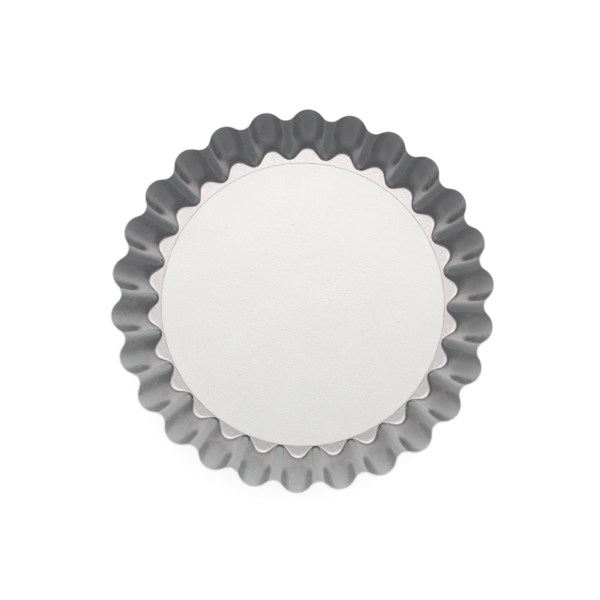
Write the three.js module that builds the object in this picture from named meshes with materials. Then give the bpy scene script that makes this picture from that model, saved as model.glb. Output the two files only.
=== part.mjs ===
// Mini tart pan: a fluted ring with a loose base that lies on the ring's ledge.
// Millimetres, +Z up. The origin is on the pan's axis, on the surface that the pan stands on.
import * as THREE from 'three';

// The ring is drawn from one sheet, which thins towards the rim. Its flutes are even, with a crest on +X.
const fluteCount = 26;
const panHeight = 20;
const ringSheet = 0.6;
const rimSheet = 0.3;

// The wall's wave at the rim, on the outside of the sheet. Ridges stand inwards between the crests.
const rimCrestRadius = 52.3;
const rimFluteDepth = 2.85;
const rimCrestRound = 4.9;
const rimRidgeRound = 2.75;

// The wave at the foot, on the inside of the sheet, where wall and ledge would meet in a sharp corner.
const footCrestRadius = 44.3;
const footFluteDepth = 3.35;
const footCrestRound = 2.8;
const footRidgeRound = 2.15;

// Between foot and rim the wall swells outwards by this much at half its height.
const wallBulge = 0.5;

// How far the bend from ledge to wall reaches from the sharp corner: gently along the ledge in the flutes,
// less far up the wall, and tight at the ridges. The bend on the outside is alike all round.
const crestBendIn = 1.1;
const crestBendUp = 0.4;
const ridgeBend = 0.14;
const outsideBend = 0.6;

// The loose base, its play inside the ridges, and the width of ledge under it when it is centred.
const baseThickness = 0.6;
const baseEdgeChamfer = 0.2;
const basePlay = 0.55;
const ledgeOverlap = 5;

// The ledge's top is flat under the base as far as this from the base's edge. From there it falls outwards.
const ledgeFallMargin = 0.6;
const ledgeFall = 0.39;

// The base has slid towards one crest, counted from +X, and stops just short of the ridges beside it.
const restingCrest = 19;
const bendClearance = 0.08;

// Flat steps that stand for each round stretch.
const halfCrestSteps = 3;
const halfRidgeSteps = 2;
const bendSteps = 2;
const baseSegments = 156;

// Where a wave has no room for its rounds, they shrink to this share of what would just touch.
const roundFill = 0.99;

const fluteAngle = (2 * Math.PI) / fluteCount;
const ridgeFootRadius = footCrestRadius - footFluteDepth;
const baseRadius = ridgeFootRadius - basePlay;
const ledgeHoleRadius = baseRadius - ledgeOverlap;
const ledgeFallStart = baseRadius - ledgeFallMargin;
const ledgeSlope = ledgeFall / (footCrestRadius - ledgeFallStart);

// The wall leans out by its draft, so the sheet is wider across at the rim than it is thick.
const draft = Math.atan2(rimCrestRadius - rimSheet - footCrestRadius, panHeight - ringSheet);
const rimAcross = rimSheet / Math.cos(draft);
const footAcross = ringSheet * Math.tan((Math.PI / 2 - draft) / 2);

// The largest common factor, up to 1, at which a crest's round and a ridge's round still leave a flank
// between them. The gap between the two rounds is a quadratic in that factor.
function roundFactor(crestRadius, ridgeRadius, crestRound, ridgeRound) {
  const cosine = Math.cos(fluteAngle / 2);
  const constant = crestRadius ** 2 + ridgeRadius ** 2 - 2 * crestRadius * ridgeRadius * cosine;
  const outward = ridgeRadius * ridgeRound - crestRadius * crestRound;
  const across = ridgeRadius * crestRound - crestRadius * ridgeRound;
  const linear = 2 * (outward + across * cosine);
  const square = -2 * crestRound * ridgeRound * (1 - cosine);
  const touching = (-linear - Math.sqrt(linear ** 2 - 4 * square * constant)) / (2 * square);
  return Math.min(1, touching * roundFill);
}

// Half a flute from its crest on +X to the next ridge: an arc, a straight flank and a reversed arc.
// Each point has its outward normal and its share of the way from a ridge (0) to a crest (1).
function halfFlute(crestRadius, depth, crestRound, ridgeRound) {
  const ridgeRadius = crestRadius - depth;
  const factor = roundFactor(crestRadius, ridgeRadius, crestRound, ridgeRound);
  const crestArc = crestRound * factor;
  const ridgeArc = ridgeRound * factor;
  const ridgeBearing = fluteAngle / 2;
  const crestCentre = new THREE.Vector2(crestRadius - crestArc, 0);
  const ridgeCentre = new THREE.Vector2(Math.cos(ridgeBearing), Math.sin(ridgeBearing));
  ridgeCentre.multiplyScalar(ridgeRadius + ridgeArc);
  const between = ridgeCentre.clone().sub(crestCentre);
  const flankBearing = between.angle() - Math.acos((crestArc + ridgeArc) / between.length());
  const points = [];
  const addPoint = (centre, radius, bearing) => {
    const normal = new THREE.Vector2(Math.cos(bearing), Math.sin(bearing));
    const point = centre.clone().addScaledVector(normal, radius);
    points.push({ point, normal, crestShare: (point.length() - ridgeRadius) / depth });
  };
  for (let step = 0; step <= halfCrestSteps; step += 1) {
    addPoint(crestCentre, crestArc, flankBearing * (step / halfCrestSteps));
  }
  for (let step = 0; step <= halfRidgeSteps; step += 1) {
    const bearing = THREE.MathUtils.lerp(flankBearing, ridgeBearing, step / halfRidgeSteps);
    addPoint(ridgeCentre, -ridgeArc, bearing);
  }
  return points;
}

// The whole wave, once round the pan, from half flutes and their mirror images.
function wave(crestRadius, depth, crestRound, ridgeRound) {
  const half = halfFlute(crestRadius, depth, crestRound, ridgeRound);
  const axis = new THREE.Vector2(0, 0);
  const turned = ({ point, normal, crestShare }, side, flute) => ({
    point: new THREE.Vector2(point.x, point.y * side).rotateAround(axis, flute * fluteAngle),
    normal: new THREE.Vector2(normal.x, normal.y * side).rotateAround(axis, flute * fluteAngle),
    crestShare,
  });
  const round = [];
  for (let flute = 0; flute < fluteCount; flute += 1) {
    const ahead = half.map((entry) => turned(entry, 1, flute));
    const back = half.slice(1, -1).reverse().map((entry) => turned(entry, -1, flute + 1));
    round.push(...ahead, ...back);
  }
  return round;
}

// A point of a wave, moved along its normal and raised to a height.
function raised({ point, normal }, outward, height) {
  const moved = point.clone().addScaledVector(normal, outward);
  return new THREE.Vector3(moved.x, moved.y, height);
}

// A point at a radius in the same direction from the axis as a point of a wave, raised to a height.
function atRadius({ point }, radius, height) {
  const moved = point.clone().setLength(radius);
  return new THREE.Vector3(moved.x, moved.y, height);
}

// The bend at a sharp corner, from a point on the ledge to a point on the wall.
function bend(ledgeEnd, corner, wallEnd) {
  return new THREE.QuadraticBezierCurve3(ledgeEnd, corner, wallEnd).getPoints(bendSteps);
}

// The middle of a stretch of wall, swollen outwards.
function wallMiddle(wallEnd, rimPoint, { normal }) {
  const middle = wallEnd.clone().lerp(rimPoint, 0.5);
  return middle.addScaledVector(new THREE.Vector3(normal.x, normal.y, 0), wallBulge);
}

// A closed section through the ring: hole edge, ledge top, inside of the wall, rim, outside, ledge underside.
function ringSection(footEntry, rimEntry) {
  const reachIn = THREE.MathUtils.lerp(ridgeBend, crestBendIn, footEntry.crestShare);
  const reachUp = THREE.MathUtils.lerp(ridgeBend, crestBendUp, footEntry.crestShare);
  const ledgeTop = (point) => ringSheet - (Math.hypot(point.x, point.y) - ledgeFallStart) * ledgeSlope;
  const insideRim = raised(rimEntry, -rimAcross, panHeight);
  const outsideRim = raised(rimEntry, 0, panHeight);

  const insideCorner = raised(footEntry, 0, ledgeTop(footEntry.point));
  const insideLedgeEnd = raised(footEntry, -reachIn, 0);
  insideLedgeEnd.z = ledgeTop(insideLedgeEnd);
  const insideUp = insideRim.clone().sub(insideCorner).setLength(reachUp);
  const insideWallEnd = insideCorner.clone().add(insideUp);

  const outsideCorner = raised(footEntry, footAcross, 0);
  const outsideLedgeEnd = raised(footEntry, footAcross - outsideBend, 0);
  const outsideUp = outsideRim.clone().sub(outsideCorner).setLength(outsideBend);
  const outsideWallEnd = outsideCorner.clone().add(outsideUp);

  return [
    atRadius(footEntry, ledgeHoleRadius, 0),
    atRadius(footEntry, ledgeHoleRadius, ringSheet),
    atRadius(footEntry, ledgeFallStart, ringSheet),
    ...bend(insideLedgeEnd, insideCorner, insideWallEnd),
    wallMiddle(insideWallEnd, insideRim, footEntry),
    insideRim,
    outsideRim,
    wallMiddle(outsideWallEnd, outsideRim, footEntry),
    ...bend(outsideLedgeEnd, outsideCorner, outsideWallEnd).reverse(),
  ];
}

// The sections are joined once round the axis, each to the next.
function ringGeometry() {
  const rim = wave(rimCrestRadius, rimFluteDepth, rimCrestRound, rimRidgeRound);
  const foot = wave(footCrestRadius, footFluteDepth, footCrestRound, footRidgeRound);
  const sections = foot.map((entry, place) => ringSection(entry, rim[place]));
  const sectionSize = sections[0].length;
  const index = [];
  sections.forEach((section, place) => {
    const next = (place + 1) % sections.length;
    section.forEach((corner, along) => {
      const after = (along + 1) % sectionSize;
      const here = place * sectionSize;
      const there = next * sectionSize;
      index.push(here + along, here + after, there + after);
      index.push(here + along, there + after, there + along);
    });
  });
  const geometry = new THREE.BufferGeometry().setFromPoints(sections.flat());
  geometry.setIndex(index);
  geometry.computeVertexNormals();
  return geometry;
}

// A flat disc with a small chamfer round both edges, turned about +Z, with its underside at height 0.
function baseGeometry() {
  const flatRadius = baseRadius - baseEdgeChamfer;
  const profile = [
    new THREE.Vector2(0, 0),
    new THREE.Vector2(flatRadius, 0),
    new THREE.Vector2(baseRadius, baseEdgeChamfer),
    new THREE.Vector2(baseRadius, baseThickness - baseEdgeChamfer),
    new THREE.Vector2(flatRadius, baseThickness),
    new THREE.Vector2(0, baseThickness),
  ];
  return new THREE.LatheGeometry(profile, baseSegments).rotateX(Math.PI / 2);
}

const satinSheet = new THREE.MeshStandardMaterial({ color: 0xdcd9d7, roughness: 0.26, metalness: 1 });
const mattSheet = new THREE.MeshStandardMaterial({ color: 0xeeedeb, roughness: 0.37, metalness: 1 });

const flutedRing = new THREE.Mesh(ringGeometry(), satinSheet);
flutedRing.name = 'fluted_ring';

// The base lies on the ledge and has slid sideways by what its play leaves before the ridges' bends.
const slideAtRidge = basePlay - (ridgeBend - baseEdgeChamfer + bendClearance);
const slide = slideAtRidge / Math.cos(fluteAngle / 2);
const slideBearing = restingCrest * fluteAngle;
const looseBase = new THREE.Mesh(baseGeometry(), mattSheet);
looseBase.name = 'loose_base';
looseBase.position.set(slide * Math.cos(slideBearing), slide * Math.sin(slideBearing), ringSheet);

const tartPan = new THREE.Group();
tartPan.add(flutedRing, looseBase);

export default tartPan;
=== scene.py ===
import math

import bmesh
import bpy
from mathutils import Euler, Matrix, Vector


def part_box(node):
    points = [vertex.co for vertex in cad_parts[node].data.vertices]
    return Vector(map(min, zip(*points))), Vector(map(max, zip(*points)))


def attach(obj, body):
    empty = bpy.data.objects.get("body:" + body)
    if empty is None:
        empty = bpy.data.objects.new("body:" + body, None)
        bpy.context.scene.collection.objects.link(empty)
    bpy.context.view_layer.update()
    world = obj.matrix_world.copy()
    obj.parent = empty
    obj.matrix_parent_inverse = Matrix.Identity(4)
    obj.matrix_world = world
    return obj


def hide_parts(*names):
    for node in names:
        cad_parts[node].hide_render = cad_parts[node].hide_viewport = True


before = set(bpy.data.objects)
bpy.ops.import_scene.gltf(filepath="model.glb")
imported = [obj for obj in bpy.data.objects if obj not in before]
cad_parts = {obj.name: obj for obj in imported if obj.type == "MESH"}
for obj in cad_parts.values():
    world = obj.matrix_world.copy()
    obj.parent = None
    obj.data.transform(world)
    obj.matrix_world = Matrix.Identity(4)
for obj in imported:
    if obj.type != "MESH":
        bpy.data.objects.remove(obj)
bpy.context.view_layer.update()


# Fluted ring: the flaring side wall with its plain cut rim and, at its foot, the ledge that carries the base.
# Aluminium sheet, deep drawn in a fluted die, pierced, trimmed and anodised to a satin silver grey.
# It stands on the underside of its ledge. A crest of the flutes lies on +X.
MM = 0.001
FLUTES = 26
RING_SHEET = 0.6 * MM
RIM_SHEET = 0.3 * MM
RIM_DEPTH = 2.85 * MM
RIM_CREST_ROUND = 4.9 * MM
RIM_RIDGE_ROUND = 2.75 * MM
FOOT_CREST = 44.3 * MM
FOOT_DEPTH = 3.35 * MM
FOOT_CREST_ROUND = 2.8 * MM
FOOT_RIDGE_ROUND = 2.15 * MM
CREST_BEND_IN = 1.1 * MM
CREST_BEND_UP = 0.4 * MM
RIDGE_BEND = 0.14 * MM
OUTSIDE_BEND = 0.6 * MM
LEDGE_HOLE = 35.4 * MM
LEDGE_FALL_START = 39.8 * MM
LEDGE_FALL = math.tan(math.radians(5))
RIM_EDGE_ROUND = 0.06 * MM
WALL_BULGE = 0.5 * MM
SUPPORT_GAP = 0.03 * MM

ring_low, ring_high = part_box("fluted_ring")
RIM_HEIGHT = ring_high.z
RIM_CREST = ring_high.x
FLUTE_ANGLE = 2 * math.pi / FLUTES
DRAFT = math.atan2(RIM_CREST - RIM_SHEET - FOOT_CREST, RIM_HEIGHT - RING_SHEET)
RIM_ACROSS = RIM_SHEET / math.cos(DRAFT)
BEND_REACH = math.tan((math.pi / 2 - DRAFT) / 2)


def flute_wave(crest_radius, depth, crest_round, ridge_round):
    """The wall's wave once round the pan, as (point, outward normal, share of the way to a crest)."""
    crest_steps, flank_steps, ridge_steps = 9, 4, 8
    ridge_bearing = FLUTE_ANGLE / 2
    crest_centre = Vector((crest_radius - crest_round, 0))
    ridge_reach = crest_radius - depth + ridge_round
    ridge_centre = ridge_reach * Vector((math.cos(ridge_bearing), math.sin(ridge_bearing)))
    between = ridge_centre - crest_centre
    flank_bearing = math.atan2(between.y, between.x) - math.acos((crest_round + ridge_round) / between.length)
    half = []

    def add_point(centre, radius, bearing):
        normal = Vector((math.cos(bearing), math.sin(bearing)))
        half.append((centre + radius * normal, normal))

    for step in range(crest_steps + 1):
        add_point(crest_centre, crest_round, flank_bearing * step / crest_steps)
    flank_start, flank_normal = half[-1]
    flank_end = ridge_centre - ridge_round * flank_normal
    for step in range(1, flank_steps):
        half.append((flank_start.lerp(flank_end, step / flank_steps), flank_normal))
    for step in range(ridge_steps + 1):
        share = step / ridge_steps
        add_point(ridge_centre, -ridge_round, flank_bearing + (ridge_bearing - flank_bearing) * share)

    wave = []
    for flute in range(FLUTES):
        here = Matrix.Rotation(flute * FLUTE_ANGLE, 2)
        ahead = Matrix.Rotation((flute + 1) * FLUTE_ANGLE, 2)
        mirrored = [(Vector((p.x, -p.y)), Vector((n.x, -n.y))) for p, n in reversed(half[1:-1])]
        for turn, stretch in ((here, half), (ahead, mirrored)):
            for point, normal in stretch:
                share = (point.length - crest_radius + depth) / depth
                wave.append((turn @ point, turn @ normal, share))
    return wave


def bend(corner, outward, rim_point, reach_in, reach_up, steps):
    """The round from the ledge into the wall. A long reach along the ledge lets it begin gently."""
    start = corner - outward * reach_in
    end = corner + (rim_point - corner).normalized() * reach_up
    points = []
    for step in range(steps + 1):
        share = step / steps
        points.append(start * (1 - share) ** 2 + corner * 2 * share * (1 - share) + end * share ** 2)
    return points


def edge_arc(centre, first, second, radius, steps):
    """A quarter-round edge from direction first to direction second."""
    points = []
    for step in range(steps + 1):
        turn = math.pi / 2 * step / steps
        points.append(centre + (first * math.cos(turn) + second * math.sin(turn)) * radius)
    return points


def straight(start, end, steps):
    """Points from start to end, with one close to each end so that smooth shading stays flat between them."""
    close = SUPPORT_GAP / (end - start).length
    shares = [0, close] + [step / steps for step in range(1, steps)] + [1 - close, 1]
    return [start.lerp(end, share) for share in shares]


def ring_section(foot, rim):
    """One closed section of the ring: ledge top, bend, inside of the wall, rim, outside, ledge underside."""
    ledge_steps, bend_steps, wall_steps, edge_steps, underside_steps = 3, 10, 8, 3, 2
    swell_to_bulge = 1.5 * math.sqrt(3)
    foot_point, foot_normal, share = foot
    rim_point, rim_normal, _ = rim
    outward = foot_normal.to_3d()
    rim_outward = rim_normal.to_3d()
    up = Vector((0, 0, 1))
    reach_in = RIDGE_BEND + (CREST_BEND_IN - RIDGE_BEND) * share
    reach_up = RIDGE_BEND + (CREST_BEND_UP - RIDGE_BEND) * share
    fall = (foot_point.length - LEDGE_FALL_START) * LEDGE_FALL
    inside_corner = foot_point.to_3d() + up * (RING_SHEET - fall)
    outside_corner = foot_point.to_3d() + outward * RING_SHEET * BEND_REACH
    inside_rim = rim_point.to_3d() - rim_outward * RIM_ACROSS + up * RIM_HEIGHT
    outside_rim = rim_point.to_3d() + up * RIM_HEIGHT
    hole = foot_point.normalized().to_3d() * LEDGE_HOLE
    brow = foot_point.normalized().to_3d() * LEDGE_FALL_START + up * RING_SHEET
    slope = outward - up * LEDGE_FALL * foot_normal.dot(foot_point.normalized())
    inside_bend = bend(inside_corner, slope.normalized(), inside_rim, reach_in, reach_up, bend_steps)
    outside_bend = bend(outside_corner, outward, outside_rim, OUTSIDE_BEND, OUTSIDE_BEND, bend_steps)
    in_centre = inside_rim + rim_outward * RIM_EDGE_ROUND - up * RIM_EDGE_ROUND
    out_centre = outside_rim - rim_outward * RIM_EDGE_ROUND - up * RIM_EDGE_ROUND
    in_edge = edge_arc(in_centre, -rim_outward, up, RIM_EDGE_ROUND, edge_steps)
    out_edge = edge_arc(out_centre, up, rim_outward, RIM_EDGE_ROUND, edge_steps)
    section = straight(hole, hole + up * RING_SHEET, 1)
    section += straight(section[-1], brow, 1)[1:]
    section += straight(brow, inside_bend[0], ledge_steps)[1:]
    section += inside_bend[1:]
    section += straight(inside_bend[-1], in_edge[0], wall_steps)[1:]
    section += in_edge[1:]
    section += straight(in_edge[-1], out_edge[0], 1)[1:]
    section += out_edge[1:]
    section += straight(out_edge[-1], outside_bend[-1], wall_steps)[1:]
    section += list(reversed(outside_bend[:-1]))
    section += straight(outside_bend[0], hole, underside_steps)[1:-1]
    # The wall swells outwards, most above its middle in the crests and below its middle in the ridges.
    # The factor swell_to_bulge makes the most equal to WALL_BULGE.
    wall_top = RIM_HEIGHT - RIM_EDGE_ROUND
    for point in section:
        if point.xy.length > LEDGE_FALL_START and point.z < wall_top:
            climb = point.z / wall_top
            lopsided = (1 + climb) * share + (2 - climb) * (1 - share)
            point += outward * WALL_BULGE * swell_to_bulge * climb * (1 - climb) * lopsided
    return section


def ring_mesh(name, sections):
    """Joins closed sections once round the axis into one smooth closed mesh."""
    shape = bmesh.new()
    rows = [[shape.verts.new(point) for point in section] for section in sections]
    for place, row in enumerate(rows):
        following = rows[(place + 1) % len(rows)]
        for along in range(len(row)):
            after = (along + 1) % len(row)
            shape.faces.new((row[along], row[after], following[after], following[along])).smooth = True
    mesh = bpy.data.meshes.new(name)
    shape.to_mesh(mesh)
    shape.free()
    piece = bpy.data.objects.new(name, mesh)
    bpy.context.collection.objects.link(piece)
    return piece


foot_wave = flute_wave(FOOT_CREST, FOOT_DEPTH, FOOT_CREST_ROUND, FOOT_RIDGE_ROUND)
rim_wave = flute_wave(RIM_CREST, RIM_DEPTH, RIM_CREST_ROUND, RIM_RIDGE_ROUND)
ring = ring_mesh("drawn_fluted_ring", [ring_section(f, r) for f, r in zip(foot_wave, rim_wave)])


def linear(hex_colour):
    """An sRGB colour such as "C8C8C8" as linear red, green, blue and alpha."""
    parts = [int(hex_colour[place:place + 2], 16) / 255 for place in (0, 2, 4)]
    return [p / 12.92 if p <= 0.04045 else ((p + 0.055) / 1.055) ** 2.4 for p in parts] + [1]


def add_node(tree, kind, inputs=(), **settings):
    """Adds a node, sets its settings, and sets or links each named or numbered input."""
    node = tree.nodes.new(kind)
    for setting, value in settings.items():
        setattr(node, setting, value)
    for socket, value in dict(inputs).items():
        if isinstance(value, bpy.types.NodeSocket):
            tree.links.new(value, node.inputs[socket])
        else:
            node.inputs[socket].default_value = value
    return node


# Satin anodised aluminium: an even silver grey with a soft gloss that smears reflections.
# The drawing die leaves a faint mottle, a few millimetres wide, and the anodising a fine grain, stretched up
# the wall. The grain is really finer than a tenth of a millimetre and is made coarser, so that it shows.
# Up to the top of the ledge the ring is tinted slightly warmer than the wall, fading out over one more sheet
# thickness up the bend.
DIE_MOTTLE = 6 * MM
RING_GRAIN = 0.3 * MM
GRAIN_SCALE_UP_WALL = 0.45
GRAIN_RELIEF = 0.1 * MM
satin = bpy.data.materials.new("satin_anodised_aluminium_drawn")
satin.use_nodes = True
tree = satin.node_tree
tree.nodes.clear()
place = add_node(tree, "ShaderNodeTexCoord").outputs["Object"]
mottle = add_node(tree, "ShaderNodeTexNoise", {"Vector": place, "Scale": 1 / DIE_MOTTLE, "Detail": 3})
drawn = add_node(tree, "ShaderNodeMapping", {"Vector": place, "Scale": (1, 1, GRAIN_SCALE_UP_WALL)})
grain = add_node(tree, "ShaderNodeTexNoise", {
    "Vector": drawn.outputs["Vector"], "Scale": 1 / RING_GRAIN, "Detail": 2,
})
speckle = add_node(tree, "ShaderNodeMapRange", {
    "Value": grain.outputs["Fac"], "From Min": 0.25, "From Max": 0.75,
}, interpolation_type="SMOOTHSTEP")
tone = add_node(tree, "ShaderNodeMix", {
    "Factor": speckle.outputs["Result"], "A": linear("D7D7D7"), "B": linear("E7E7E7"),
}, data_type="RGBA")
height = add_node(tree, "ShaderNodeSeparateXYZ", {"Vector": place}).outputs["Z"]
ledge_tint_share = add_node(tree, "ShaderNodeMapRange", {
    "Value": height, "From Min": RING_SHEET, "From Max": 2 * RING_SHEET, "To Min": 1, "To Max": 0,
})
warmer = add_node(tree, "ShaderNodeMix", {
    "Factor": ledge_tint_share.outputs["Result"], "A": tone.outputs["Result"], "B": linear("FFFBFB"),
}, data_type="RGBA", blend_type="MULTIPLY")
gloss = add_node(tree, "ShaderNodeMapRange", {
    "Value": mottle.outputs["Fac"], "To Min": 0.23, "To Max": 0.30,
})
relief = add_node(tree, "ShaderNodeBump", {
    "Height": grain.outputs["Fac"], "Strength": 0.3, "Distance": GRAIN_RELIEF,
})
surface = add_node(tree, "ShaderNodeBsdfPrincipled", {
    "Base Color": warmer.outputs["Result"], "Metallic": 1, "Roughness": gloss.outputs["Result"],
    "Normal": relief.outputs["Normal"],
})
add_node(tree, "ShaderNodeOutputMaterial", {"Surface": surface.outputs["BSDF"]})
ring.data.materials.append(satin)
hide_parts("fluted_ring")
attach(ring, "ring")


# Loose base: a flat disc that lies on the ledge inside the flutes and is pushed up through the ledge's hole.
# Rolled aluminium sheet, blanked with a slightly rolled-over edge, with a matt anodised face.
# Nothing fixes it: it has slipped sideways until its edge nearly meets the ridges on one side.
BASE_EDGE_ROUND = 0.2 * MM
BASE_TURNS = 312
base_low, base_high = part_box("loose_base")
base_middle = (base_low + base_high) / 2
BASE_RADIUS = (base_high.x - base_low.x) / 2


def base_profile():
    """Half of the disc's section, from inside its underside round the edge to inside its face."""
    low, high = base_low.z, base_high.z
    flat = BASE_RADIUS - BASE_EDGE_ROUND
    low_steps, high_steps = 3, 5
    radii = [flat * 0.25, flat * 0.5, flat * 0.75, flat - SUPPORT_GAP]
    out, up = Vector((1, 0)), Vector((0, 1))
    low_edge = edge_arc(Vector((flat, low + BASE_EDGE_ROUND)), -up, out, BASE_EDGE_ROUND, low_steps)
    high_edge = edge_arc(Vector((flat, high - BASE_EDGE_ROUND)), out, up, BASE_EDGE_ROUND, high_steps)
    underside = [Vector((radius, low)) for radius in radii]
    face = [Vector((radius, high)) for radius in reversed(radii)]
    return underside + low_edge + high_edge + face


def disc_mesh(name, profile, turns):
    """Turns a profile about the disc's own axis and closes both faces at the middle."""
    shape = bmesh.new()
    middle = base_middle.xy.to_3d()
    rows = []
    for turn in range(turns):
        bearing = 2 * math.pi * turn / turns
        ray = Vector((math.cos(bearing), math.sin(bearing), 0))
        rows.append([shape.verts.new(middle + ray * p.x + Vector((0, 0, p.y))) for p in profile])
    bottom = shape.verts.new(middle + Vector((0, 0, base_low.z)))
    top = shape.verts.new(middle + Vector((0, 0, base_high.z)))
    for turn, row in enumerate(rows):
        following = rows[(turn + 1) % turns]
        shape.faces.new((bottom, following[0], row[0]))
        shape.faces.new((top, row[-1], following[-1]))
        for along in range(len(row) - 1):
            shape.faces.new((row[along], following[along], following[along + 1], row[along + 1]))
    for face in shape.faces:
        face.smooth = True
    mesh = bpy.data.meshes.new(name)
    shape.to_mesh(mesh)
    shape.free()
    piece = bpy.data.objects.new(name, mesh)
    bpy.context.collection.objects.link(piece)
    return piece


base = disc_mesh("blanked_loose_base", base_profile(), BASE_TURNS)

# Matt anodised aluminium, rolled: a pale, even silver with a broad soft sheen.
# Rolling and etching leave a fine sandy grain and a faint cloudiness, and handling a few small specks.
# This grain, too, is made coarser than it really is, so that it shows.
ROLLED_CLOUD = 14 * MM
BASE_GRAIN = 0.28 * MM
SPECK_SPACING = 9 * MM
SPECK_CORE = 0.108 * MM
SPECK_EDGE = 0.216 * MM
SPECK_SHARE = 0.25
matt = bpy.data.materials.new("matt_anodised_aluminium_rolled")
matt.use_nodes = True
tree = matt.node_tree
tree.nodes.clear()
place = add_node(tree, "ShaderNodeTexCoord").outputs["Object"]
cloud = add_node(tree, "ShaderNodeTexNoise", {"Vector": place, "Scale": 1 / ROLLED_CLOUD, "Detail": 3})
grain = add_node(tree, "ShaderNodeTexNoise", {"Vector": place, "Scale": 1 / BASE_GRAIN, "Detail": 2})
clean = add_node(tree, "ShaderNodeMix", {
    "Factor": grain.outputs["Fac"], "A": linear("EBECEB"), "B": linear("F0F1F0"),
}, data_type="RGBA")
spots = add_node(tree, "ShaderNodeTexVoronoi", {
    "Vector": place, "Scale": 1 / SPECK_SPACING,
}, voronoi_dimensions="2D")
spot = add_node(tree, "ShaderNodeMapRange", {
    "Value": spots.outputs["Distance"], "From Min": SPECK_CORE / SPECK_SPACING,
    "From Max": SPECK_EDGE / SPECK_SPACING, "To Min": 0.35, "To Max": 0,
})
chance = add_node(tree, "ShaderNodeSeparateColor", {"Color": spots.outputs["Color"]})
chosen = add_node(tree, "ShaderNodeMath", {
    0: chance.outputs["Red"], 1: 1 - SPECK_SHARE,
}, operation="GREATER_THAN")
speck = add_node(tree, "ShaderNodeMath", {
    0: spot.outputs["Result"], 1: chosen.outputs["Value"],
}, operation="MULTIPLY")
tone = add_node(tree, "ShaderNodeMix", {
    "Factor": speck.outputs["Value"], "A": clean.outputs["Result"], "B": linear("77736E"),
}, data_type="RGBA")
gloss = add_node(tree, "ShaderNodeMapRange", {
    "Value": cloud.outputs["Fac"], "To Min": 0.32, "To Max": 0.36,
})
relief = add_node(tree, "ShaderNodeBump", {
    "Height": grain.outputs["Fac"], "Strength": 0.44, "Distance": GRAIN_RELIEF,
})
surface = add_node(tree, "ShaderNodeBsdfPrincipled", {
    "Base Color": tone.outputs["Result"], "Metallic": 1, "Roughness": gloss.outputs["Result"],
    "Normal": relief.outputs["Normal"],
})
add_node(tree, "ShaderNodeOutputMaterial", {"Surface": surface.outputs["BSDF"]})
base.data.materials.append(matt)
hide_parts("loose_base")
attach(base, "base")


# Studio floor: a wide white matt board that the pan stands on. A glow of its own keeps it white to the eye
# and in the metal, and it still takes the pan's soft shadow.
FLOOR_HALF = 3.0
FLOOR_GLOW = 0.66
shape = bmesh.new()
bmesh.ops.create_grid(shape, x_segments=1, y_segments=1, size=FLOOR_HALF)
floor_mesh = bpy.data.meshes.new("studio_floor")
shape.to_mesh(floor_mesh)
shape.free()
floor = bpy.data.objects.new("studio_floor", floor_mesh)
bpy.context.collection.objects.link(floor)
white = bpy.data.materials.new("white_matt_board")
white.use_nodes = True
tree = white.node_tree
tree.nodes.clear()
seen = add_node(tree, "ShaderNodeLightPath")
direct = add_node(tree, "ShaderNodeMath", {
    0: seen.outputs["Is Camera Ray"], 1: seen.outputs["Is Glossy Ray"],
}, operation="MAXIMUM")
shown = add_node(tree, "ShaderNodeMath", {
    0: direct.outputs["Value"], 1: seen.outputs["Is Transmission Ray"],
}, operation="MAXIMUM")
glow = add_node(tree, "ShaderNodeMath", {0: shown.outputs["Value"], 1: FLOOR_GLOW}, operation="MULTIPLY")
board = add_node(tree, "ShaderNodeBsdfPrincipled", {
    "Base Color": linear("F4F4F4"), "Roughness": 0.9, "Specular IOR Level": 0,
    "Emission Color": linear("FFFFFF"), "Emission Strength": glow.outputs["Value"],
})
add_node(tree, "ShaderNodeOutputMaterial", {"Surface": board.outputs["BSDF"]})
floor.data.materials.append(white)


# Studio light: one large softbox overhead, wider than it is deep, which leans to the back and fades evenly
# from its middle to its edges. The room round it is pale at the back and a little at the right, and dim
# elsewhere, as the photograph's reflections in the wall show.
PICTURE_TURN = math.radians(5.05)
back = Vector((math.sin(PICTURE_TURN), math.cos(PICTURE_TURN), 0))
right = Vector((math.cos(PICTURE_TURN), -math.sin(PICTURE_TURN), 0))
BOX_LEAN_BACK = 0.245
BOX_STRETCH = 1.39
BOX_REACH = math.radians(46)
BOX_RADIANCE = 1.325
ROOM_TOP = math.sin(math.radians(80))
ROOM_RADIANCE = 0.78
ROOM_EVEN = 0.17
PALE_BACK = 0.9
PALE_RIGHT = 0.43
PALE_FROM = 0.15
PALE_TO = 0.64
box_axis = Vector((0, BOX_LEAN_BACK, 1)).normalized()

room = bpy.data.worlds.new("studio_room")
bpy.context.scene.world = room
room.use_nodes = True
tree = room.node_tree
tree.nodes.clear()
direction = add_node(tree, "ShaderNodeTexCoord").outputs["Generated"]
in_picture = add_node(tree, "ShaderNodeMapping", {
    "Vector": direction, "Rotation": (0, 0, -PICTURE_TURN), "Scale": (BOX_STRETCH, 1, 1),
}, vector_type="TEXTURE")
towards = add_node(tree, "ShaderNodeVectorMath", {0: in_picture.outputs["Vector"]}, operation="NORMALIZE")
nearness = add_node(tree, "ShaderNodeVectorMath", {
    0: towards.outputs["Vector"], 1: box_axis,
}, operation="DOT_PRODUCT")
off_axis = add_node(tree, "ShaderNodeMath", {0: nearness.outputs["Value"]}, operation="ARCCOSINE")
box_light = add_node(tree, "ShaderNodeMapRange", {
    "Value": off_axis.outputs["Value"], "From Min": 0, "From Max": BOX_REACH,
    "To Min": BOX_RADIANCE, "To Max": 0,
}, interpolation_type="SMOOTHSTEP")
height = add_node(tree, "ShaderNodeSeparateXYZ", {"Vector": direction}).outputs["Z"]
low_down = add_node(tree, "ShaderNodeMapRange", {
    "Value": height, "From Min": 0, "From Max": ROOM_TOP, "To Min": ROOM_RADIANCE, "To Max": 0,
}, interpolation_type="SMOOTHSTEP")
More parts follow.
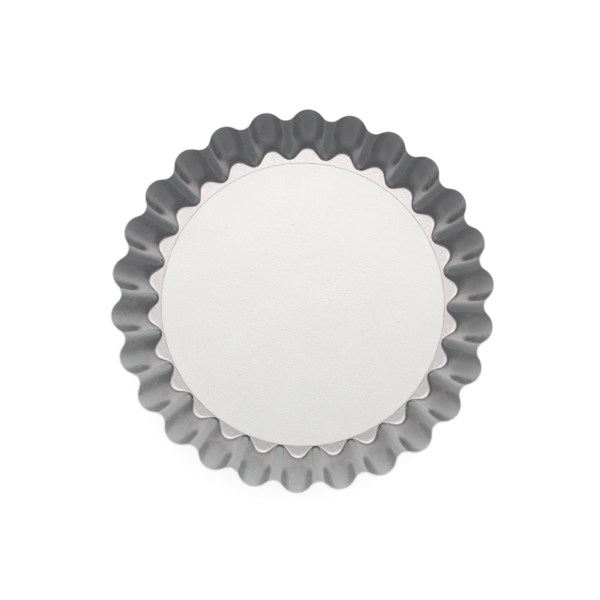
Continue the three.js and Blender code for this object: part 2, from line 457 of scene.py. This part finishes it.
sideways = add_node(tree, "ShaderNodeVectorMath", {
    0: direction, 1: back * PALE_BACK + right * PALE_RIGHT,
}, operation="DOT_PRODUCT")
side_share = add_node(tree, "ShaderNodeMapRange", {
    "Value": sideways.outputs["Value"], "From Min": PALE_FROM, "From Max": PALE_TO,
}, interpolation_type="SMOOTHSTEP")
pale_light = add_node(tree, "ShaderNodeMath", {
    0: low_down.outputs["Result"], 1: side_share.outputs["Result"],
}, operation="MULTIPLY")
box_colour = add_node(tree, "ShaderNodeBackground", {
    "Color": linear("FFFCF9"), "Strength": box_light.outputs["Result"],
})
pale_colour = add_node(tree, "ShaderNodeBackground", {
    "Color": linear("E9F0F1"), "Strength": pale_light.outputs["Value"],
})
dim_colour = add_node(tree, "ShaderNodeBackground", {"Color": linear("EBF0F8"), "Strength": ROOM_EVEN})
lit = add_node(tree, "ShaderNodeAddShader", {0: box_colour.outputs[0], 1: pale_colour.outputs[0]})
sky = add_node(tree, "ShaderNodeAddShader", {0: lit.outputs[0], 1: dim_colour.outputs[0]})
add_node(tree, "ShaderNodeOutputWorld", {"Surface": sky.outputs["Shader"]})


# Camera: nearly straight above the pan, leaning a little towards the front, with a longish lens.
PICTURE_PIXELS = 600
SENSOR_WIDTH = 36.0
CAMERA_DISTANCE = 390 * MM
PIXELS_PER_MM_AT_RIM = 3.683
RIM_CENTRE_RIGHT_PIXELS = 2.47
LEAN_FRONT = math.radians(2.0)
LEAN_RIGHT = math.radians(0.35)
camera_data = bpy.data.cameras.new("camera")
camera_data.sensor_width = SENSOR_WIDTH
camera_data.lens = PIXELS_PER_MM_AT_RIM * SENSOR_WIDTH * CAMERA_DISTANCE / MM / PICTURE_PIXELS
camera = bpy.data.objects.new("camera", camera_data)
camera.rotation_euler = (LEAN_FRONT, LEAN_RIGHT, -PICTURE_TURN)
pixel = MM / PIXELS_PER_MM_AT_RIM
aim_point = Vector((0, 0, RIM_HEIGHT)) - right * RIM_CENTRE_RIGHT_PIXELS * pixel
backward = Euler(camera.rotation_euler).to_matrix() @ Vector((0, 0, 1))
camera.location = aim_point + backward * CAMERA_DISTANCE
bpy.context.collection.objects.link(camera)
bpy.context.scene.camera = camera
bpy.context.scene.view_settings.view_transform = "Standard"
